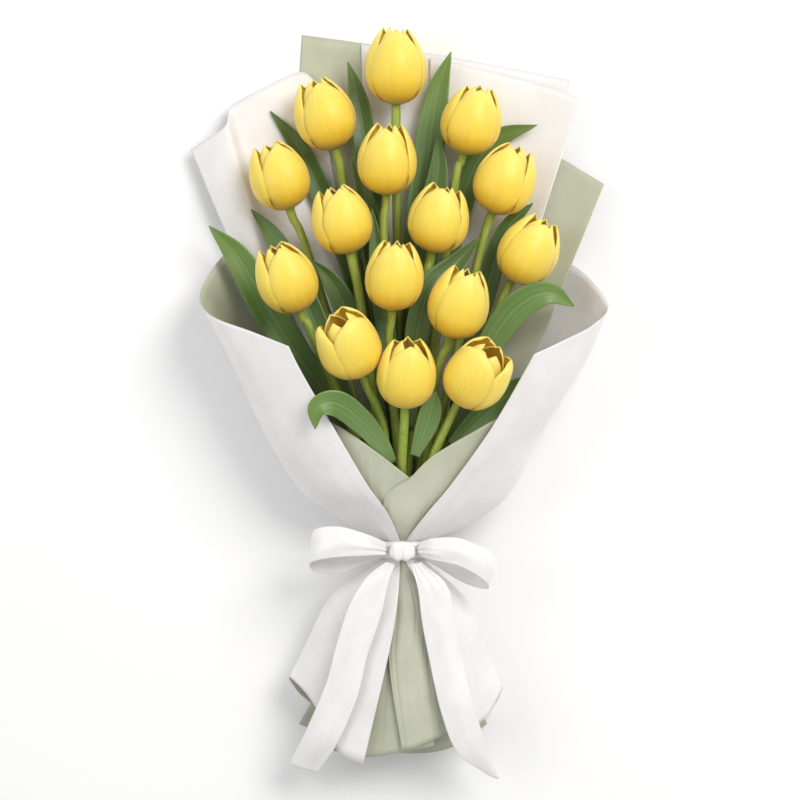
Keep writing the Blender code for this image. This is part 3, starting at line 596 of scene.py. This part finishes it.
PAPERS = {
    "wrap_back_sage": ([
        [(302, 35, .3), (340, 40, .3), (380, 46, .3), (420, 52, .3), (456, 58, .3)],
        [(297, 120, .3), (340, 125, .3), (385, 130, .3), (430, 132, .3), (475, 135, .3)],
        [(292, 255, .3), (340, 258, .3), (388, 260, .3), (436, 262, .3), (484, 262, .3)],
        [(306, 380, .3), (346, 380, .3), (392, 380, .3), (438, 380, .3), (480, 380, .3)],
        [(330, 440, 5), (360, 440, 3), (398, 440, 2), (436, 440, 3), (466, 440, 5)],
        [(366, 492, 14), (382, 492, 10), (402, 492, 9), (422, 492, 10), (438, 492, 14)],
        [(380, 520, 17.5), (390, 520, 15), (402, 520, 14), (414, 520, 15), (424, 520, 17.5)],
        *gathered(4, (228, 248, 270, 292, 312)),
        [(374, 604, 11), (386, 604, 8.5), (402, 604, 7.5), (418, 604, 8.5), (430, 604, 11)],
        [(336, 660, 4), (368, 660, 1), (402, 660, .3), (436, 660, 1), (466, 660, 4)],
        [(299, 724, 4), (350, 742, .3), (402, 753, .3), (450, 748, .3), (487, 724, 4)],
    ], "sage", 0.3),
    "wrap_back_white": ([
        [(361, 44, 2), (400, 49, 2), (440, 55, 2.5), (505, 67, 4), (570, 80, 8)],
        [(366, 180, 2), (400, 182, 2), (440, 186, 2.5), (490, 190, 5), (540, 196, 10)],
        [(374, 320, 2), (402, 320, 2), (434, 320, 3), (470, 320, 6), (505, 322, 12)],
        [(386, 430, 5), (404, 430, 4.5), (424, 430, 6), (446, 432, 9.5), (464, 434, 16)],
        [(392, 492, 16), (402, 492, 16), (412, 492, 17.5), (420, 492, 20), (427, 492, 23)],
        *half_gathered(2, (258, 272, 288, 304, 320)),
    ], "white", 0.3),
    "wrap_right_sage": ([
        [(505, 140, 7), (535, 149, 9), (562, 159, 13), (584, 172, 18), (604, 184, 24)],
        [(480, 262, 8), (505, 264, 12), (530, 266, 18), (552, 266, 24), (571, 266, 32)],
        [(462, 345, 10), (482, 346, 15), (502, 347, 22), (520, 348, 30), (538, 350, 40)],
        [(440, 430, 13), (452, 430, 18), (466, 430, 26), (478, 430, 34), (490, 430, 44)],
        [(424, 492, 24), (431, 492, 28), (439, 492, 33), (446, 492, 39), (450, 492, 46)],
        *half_gathered(1, (306, 320, 334, 348, 362)),
    ], "sage", 0.5),
    "wrap_right_white": ([
        [(430, 57, 5), (465, 65, 6), (496, 73, 8), (546, 86, 14), (580.6, 98.7, 22)],
        [(428, 180, 5), (462, 188, 8), (495, 195, 12), (524, 200, 18), (551, 190, 28)],
        [(420, 300, 6), (445, 305, 10), (470, 305, 15), (494, 304, 22), (516, 300, 30)],
        [(410, 430, 9), (420, 430, 12), (434, 430, 17), (448, 430, 23), (460, 430, 30)],
        [(405, 492, 19.5), (412, 492, 21.5), (418, 492, 25), (424, 492, 29.5), (428, 492, 34)],
        *half_gathered(0, (278, 292, 306, 320, 334)),
    ], "white", 0.5),
    "wrap_left_white": ([
        [(191, 150, 12), (208, 138, 20), (226, 125, 24), (232, 106, 13), (264, 88, 13), (300, 72, 8), (318, 84, 4)],
        [(221, 222, 18), (236, 216, 24), (252, 210, 24), (262, 202, 15), (290, 192, 12), (315, 186, 8), (335, 185, 4)],
        [(268, 325, 20), (280, 320, 22), (292, 315, 20), (304, 310, 15), (324, 306, 10), (344, 303, 7), (360, 302, 4)],
        [(322, 428, 22), (330, 426, 20), (340, 424, 16), (350, 422, 12), (362, 420, 9), (372, 420, 7), (380, 420, 6)],
        [(358, 492, 34), (361, 492, 29), (366, 492, 25), (370, 492, 22), (375, 492, 20), (380, 492, 18.5), (385, 492, 17.5)],
        *half_gathered(1, (188, 197, 206, 216, 226, 236, 246)),
    ], "white", 0.5),
    "collar_left": ([
        [(262, 256, 3), (232, 250, 9), (209, 274, 34), (199.6, 299, 62), (214, 317, 86), (250, 331, 102), (289, 346, 112)],
        [(287, 350, 3), (256, 348, 12), (236, 358, 36), (235, 370, 62), (246, 372, 86), (272, 374, 100), (302, 372, 109)],
        [(320, 428, 5), (294, 428, 16), (273, 432, 38), (266, 436, 60), (277, 434, 82), (304, 430, 96), (334, 428, 103)],
        [(352, 484, 15), (330, 484, 22), (308, 487, 39), (300, 490, 55), (312, 488, 73), (338, 484, 87), (366, 482, 94)],
        [(374, 514, 23), (360, 514, 27), (345, 516, 36), (338, 518, 46), (349, 515, 61), (368, 511, 76), (388, 514, 84)],
        *gathered(3, (262, 238, 212, 184, 152, 122, 97)),
        [(388, 604, 13), (368, 602, 16), (344, 596, 24), (333, 594, 36), (346, 600, 52), (370, 604, 64), (397, 606, 71)],
        [(368, 655, 7), (345, 650, 11), (318, 642, 22), (304, 648, 34), (325, 655, 50), (356, 662, 63), (388, 658, 71)],
        [(352, 724, 4), (325, 712, 7), (300, 694, 20), (289, 677, 34), (312, 702, 46), (336, 750, 55), (363, 765, 62)],
    ], "collar_left", 0.6),
    "collar_right": ([
        [(540, 262, 4), (566, 262, 11), (590, 279, 34), (608.5, 306, 60), (592, 325, 84), (566, 339, 100), (534, 354, 110)],
        [(505, 352, 4), (540, 345, 13), (572, 352, 36), (582, 367, 60), (571, 374, 82), (548, 378, 97), (522, 376, 106)],
        [(470, 425, 5), (500, 425, 15), (530, 428, 38), (541, 433, 58), (532, 434, 80), (512, 432, 94), (490, 431, 101)],
        [(438, 484, 14), (465, 482, 21), (497, 486, 38), (511, 490, 53), (498, 488, 71), (474, 480, 85), (452, 484, 92)],
        [(433, 514, 23.5), (446, 516, 27), (464, 520, 34), (477, 521, 45), (464, 518, 60), (443, 514, 77), (424, 517, 84)],
        *gathered(3, (284, 304, 328, 356, 388, 418, 443)),
        [(418, 604, 13), (438, 602, 16), (458, 596, 24), (467, 600, 36), (460, 604, 52), (446, 606, 64), (430, 606, 71)],
        [(436, 655, 7), (458, 650, 11), (480, 642, 22), (488, 650, 34), (478, 660, 50), (462, 664, 63), (444, 662, 71)],
        [(452, 730, 4), (472, 722, 8), (494, 706, 22), (503, 688, 34), (490, 713, 48), (474, 728, 58), (458, 744, 64)],
    ], "collar_right", 0.6),
    "front_wrap_left": ([
        [(303, 418, 78), (330, 422, 94), (366, 444, 91), (410, 478, 86.5), (434, 498, 80)],
        [(324, 484, 62), (344, 482, 79), (370, 484, 86), (404, 500, 80), (424, 510, 75)],
        [(352, 514, 50), (362, 512, 66), (382, 514, 76), (404, 518, 76), (420, 522, 70)],
        *gathered(1, (186, 155, 124, 92, 62)),
        [(352, 602, 36), (368, 604, 50), (388, 608, 58), (408, 608, 61), (424, 606, 58)],
        [(326, 656, 32), (346, 664, 48), (376, 670, 58), (406, 672, 61), (430, 670, 58)],
        [(312, 742, 30), (338, 752, 42), (368, 757, 51), (402, 752, 55), (434, 746, 54)],
    ], "sage", 0.6),
    "front_wrap_right": ([
        [(410, 478, 89), (433, 456, 91), (473, 432, 92), (503, 417, 90), (526, 420, 76)],
        [(385, 496, 84), (418, 492, 86), (450, 484, 84), (474, 482, 75), (492, 486, 60)],
        [(384, 516, 79), (408, 520, 79.5), (428, 516, 74), (446, 514, 62), (458, 516, 47)],
        *gathered(2, (128, 98, 66, 32, -4)),
        [(392, 606, 63), (410, 608, 66), (428, 606, 63), (442, 602, 53), (452, 600, 38)],
        [(389, 662, 65), (408, 668, 67), (430, 666, 64), (452, 662, 53), (472, 656, 34)],
        [(402, 750, 60), (414, 748, 60), (438, 738, 58), (464, 726, 49), (482, 718, 36)],
    ], "sage", 0.6),
}


def paper(name, rows, kind, crinkle):
    net = [[at(*p) for p in row] for row in rows]
    seed = Vector((sum(map(ord, name)) * 0.37, 0, 0))
    tie_y = at(*TIE).y
    tie_x = at(*TIE).x

    def place(u, v):
        p = smooth([smooth(row, u) for row in net], v)
        e = 0.004
        du = smooth([smooth(row, min(u + e, 1)) for row in net], v) - smooth([smooth(row, max(u - e, 0)) for row in net], v)
        dv = smooth([smooth(row, u) for row in net], min(v + e, 1)) - smooth([smooth(row, u) for row in net], max(v - e, 0))
        nrm = du.cross(dv)
        if nrm.length > 1e-12:
            nrm.normalize()
        far = abs(p.y - tie_y)
        near = math.exp(-far / (0.05 if p.y > tie_y else 0.16))
        # gathers that run out of the tie, and soft creases everywhere
        spread = math.atan2(p.x - tie_x, abs(p.y - tie_y) + 0.02)
        g = noise.noise(Vector((u * 26, v * 1.5, 3.1)) + seed)
        s = noise.noise(Vector((p.x * 18, p.y * 7, p.z * 18)) + seed)
        c = noise.noise(Vector((p.x * 60, p.y * 34, p.z * 60)) + seed)
        away = 1 - math.exp(-far / 0.02)
        off = crinkle * MM * (2.4 * g * near * away + 1.6 * s * min(1, far / 0.05) + 0.4 * c * away)
        q = p + nrm * off
        q.z = max(q.z, 0.00035)
        return q

    bm = bmesh.new()
    grid_into(bm, place, 72, 110)
    bm.normal_update()
    if kind == "sage":
        mats = [SAGE]
    elif kind == "collar_left":
        mats = [SAGE, WHITE]
    else:
        mats = [WHITE]
    return finish_piece("paper_" + name, bm, mats, [name],
                        thickness=0.35, offset=0.0,
                        inner=1 if len(mats) > 1 else None)


# ---------------------------------------------------------------------- ribbon
RIBBONS = {
    "ribbon_loop_left": [
        [(387, 543, 74), (386.5, 549, 76), (386, 555, 74)],
        [(366, 534, 84), (366, 545, 88), (366, 556, 86)],
        [(342, 527, 88), (341, 543, 92), (339, 557, 89)],
        [(322, 527, 84), (319, 545, 87), (315, 561, 84)],
        [(313, 532, 76), (310, 549, 78), (309, 566, 75)],
        [(320, 538, 68), (317, 556, 69), (316, 572, 66)],
        [(342, 541, 64), (342, 558, 63), (340, 573, 62)],
        [(366, 542, 66), (366, 555, 65), (366, 563, 64)],
        [(387, 545, 70), (386.5, 550, 70), (386, 555, 69.5)],
    ],
    "ribbon_loop_right": [
        [(417, 543, 74), (417.5, 549, 76), (418, 555, 74)],
        [(434, 538, 84), (434, 549, 88), (433, 560, 86)],
        [(458, 538, 88), (460, 552, 92), (459, 566, 89)],
        [(480, 546, 84), (484, 562, 87), (481, 578, 84)],
        [(492, 553, 76), (495, 570, 78), (489, 588, 75)],
        [(482, 556, 68), (485, 572, 69), (479, 588, 66)],
        [(460, 549, 64), (462, 564, 63), (460, 581, 62)],
        [(436, 545, 66), (437, 556, 65), (436, 566, 64)],
        [(417, 545, 70), (417.5, 550, 70), (418, 555, 69.5)],
    ],
    "ribbon_tail_left": [
        [(386, 562, 75), (391, 563, 75), (395, 564, 75)],
        [(366, 578, 77), (377, 583, 78), (388, 585, 77)],
        [(349, 606, 76), (364, 612, 78), (381, 616, 76)],
        [(337, 642, 72), (352, 648, 75), (368, 654, 73)],
        [(325, 686, 66), (340, 692, 70), (357, 698, 70)],
        [(306, 730, 56), (322, 737, 62), (338, 742, 62)],
        [(289, 764, 38), (303, 769, 42), (317, 773, 42)],
    ],
    "ribbon_tail_right": [
        [(411, 564, 75), (416, 563, 75), (421, 562, 75)],
        [(418, 590, 77), (432, 588, 78), (446, 584, 77)],
        [(422, 622, 76), (439, 620, 78), (455, 614, 76)],
        [(430, 664, 73), (447, 662, 75), (463, 656, 73)],
        [(441, 712, 71), (458, 708, 74), (473, 702, 71)],
        [(457, 752, 64), (471, 745, 66), (484, 738, 62)],
        [(486, 774, 48), (493, 777, 48), (499, 779, 47)],
    ],
}


def ribbon(name, rows):
    net = [[at(*p) for p in row] for row in rows]
    seed = Vector((sum(map(ord, name)) * 0.53, 0, 0))

    def place(u, v):
        p = smooth([smooth(row, u) for row in net], v)
        e = 0.004
        du = smooth([smooth(row, min(u + e, 1)) for row in net], v) - smooth([smooth(row, max(u - e, 0)) for row in net], v)
        dv = smooth([smooth(row, u) for row in net], min(v + e, 1)) - smooth([smooth(row, u) for row in net], max(v - e, 0))
        nrm = du.cross(dv).normalized()
        near = max(0.0, 1 - v * 4.5) + (max(0.0, v * 4.5 - 3.5) if "loop" in name else 0.0)
        pleat = math.sin(u * 19) * 0.7 * near
        wave = noise.noise(Vector((u * 2.2, v * 5, 0)) + seed) * 0.8
        return p + nrm * MM * (pleat + wave)

    bm = bmesh.new()
    grid_into(bm, place, 26, 90)
    bm.normal_update()
    ob = finish_piece("satin_" + name, bm, [SATIN], [name], thickness=0.35, offset=0.0)
    return ob


def ribbon_band():
    bm = bmesh.new()

    def place(u, v):
        row = TIE[1] - 8 + 16 * v
        c = in_tie(row, 5.0 + 0.35 * math.sin(v * math.pi), 360 * u)
        ripple = 0.25 * math.sin(v * 26 + 2 * math.sin(6.28 * u))
        c2 = in_tie(row, 5.0 + 0.35 * math.sin(v * math.pi) + ripple * 0.3, 360 * u)
        return at(*c2)
    grid_into(bm, place, 96, 24, wrap=True)
    bm.normal_update()
    return finish_piece("satin_ribbon_band", bm, [SATIN], ["ribbon_band"], thickness=0.4, offset=0.0)


def ribbon_knot():
    """The knot: a pillow of ribbon pulled tight, with folds that run across it."""
    z = TIE[2] + TIE_AZ + 0.5 + PLY * 5.0 + 7.0
    centre = at(TIE[0] - 1, TIE[1] + 1, z)
    bm = bmesh.new()
    uvl = bm.loops.layers.uv.verify()
    bmesh.ops.create_uvsphere(bm, u_segments=48, v_segments=28, radius=1.0)
    for v in bm.verts:
        c = v.co.copy()
        n4 = 3.0
        k = (abs(c.x) ** n4 + abs(c.y) ** n4 + abs(c.z) ** n4) ** (-1 / n4)
        c = c * k
        fold = 0.05 * math.sin(c.x * 9 + 1.5 * c.y) - 0.10 * math.exp(-(c.x / 0.12) ** 2)
        c *= 1 + fold
        v.co = centre + Vector((c.x * 10.2, c.y * 8.2 * (1 - 0.12 * c.x * c.x), c.z * 6.0)) * MM
    for f in bm.faces:
        f.smooth = True
        for lp in f.loops:
            q = lp.vert.co - centre
            lp[uvl].uv = (0.5 + q.x * 40, 0.5 + q.y * 40)
    bm.normal_update()
    return finish_piece("satin_ribbon_knot", bm, [SATIN], ["ribbon_knot"])


# ------------------------------------------------------------------- build all
for n, row in FLOWERS.items():
    flower(n, *row)
for n in STEMS:
    stem(n)
for name, (spine, width, base) in LEAVES.items():
    leaf(name, spine, width, base)
for name, (rows, kind, crinkle) in PAPERS.items():
    paper(name, rows, kind, crinkle)
for name, rows in RIBBONS.items():
    ribbon(name, rows)
ribbon_band()
ribbon_knot()

# ------------------------------------------------------- floor, lights, camera
bm = bmesh.new()
bmesh.ops.create_grid(bm, x_segments=4, y_segments=4, size=6.0)
for v in bm.verts:
    v.co.z = -0.0002
me = bpy.data.meshes.new("floor")
bm.to_mesh(me)
bm.free()
fm, fnt, fb = nodes_of("floor_pale")
fuv, fobj = coords(fnt)
link(fnt, ramp(fnt, noise_tex(fnt, fobj, 1.2, 2.0), [(0.3, (0.88, 0.88, 0.88)), (0.7, (0.90, 0.90, 0.90))]), fb.inputs["Base Color"])
fb.inputs["Roughness"].default_value = 0.9
me.materials.append(fm)
floor = bpy.data.objects.new("floor", me)
bpy.context.scene.collection.objects.link(floor)

world = bpy.data.worlds.new("studio")
bpy.context.scene.world = world
world.use_nodes = True
world.node_tree.nodes["Background"].inputs[0].default_value = (1.0, 1.0, 1.0, 1)
world.node_tree.nodes["Background"].inputs[1].default_value = 0.62


def area(name, loc, target, size, watts, rgb=(1, 1, 1)):
    data = bpy.data.lights.new(name, "AREA")
    data.shape = "DISK"
    data.size = size
    data.energy = watts
    data.color = rgb
    ob = bpy.data.objects.new(name, data)
    ob.location = loc
    ob.rotation_euler = (Vector(target) - Vector(loc)).to_track_quat("-Z", "Y").to_euler()
    bpy.context.scene.collection.objects.link(ob)


area("key", (1.0, 1.0, 1.9), (0, 0, 0.03), 1.3, 34, (1.0, 0.985, 0.96))
area("fill", (-1.5, 0.3, 1.6), (0, 0, 0.03), 1.4, 9, (0.97, 0.98, 1.0))

cam_data = bpy.data.cameras.new("camera")
cam_data.sensor_fit = "HORIZONTAL"
cam_data.sensor_width = 36.0
frame_w = 800 * STEP * EYE / (EYE - MID) * MM     # what the frame spans at the surface
cam_data.angle = 2 * math.atan(frame_w / 2 / (EYE * MM))
cam_data.clip_end = 50.0
cam = bpy.data.objects.new("camera", cam_data)
cam.location = (SHIFT.x, SHIFT.y, EYE * MM)
cam.rotation_euler = (0, 0, 0)
bpy.context.scene.collection.objects.link(cam)
bpy.context.scene.camera = cam
bpy.context.scene.view_settings.view_transform = "Standard"
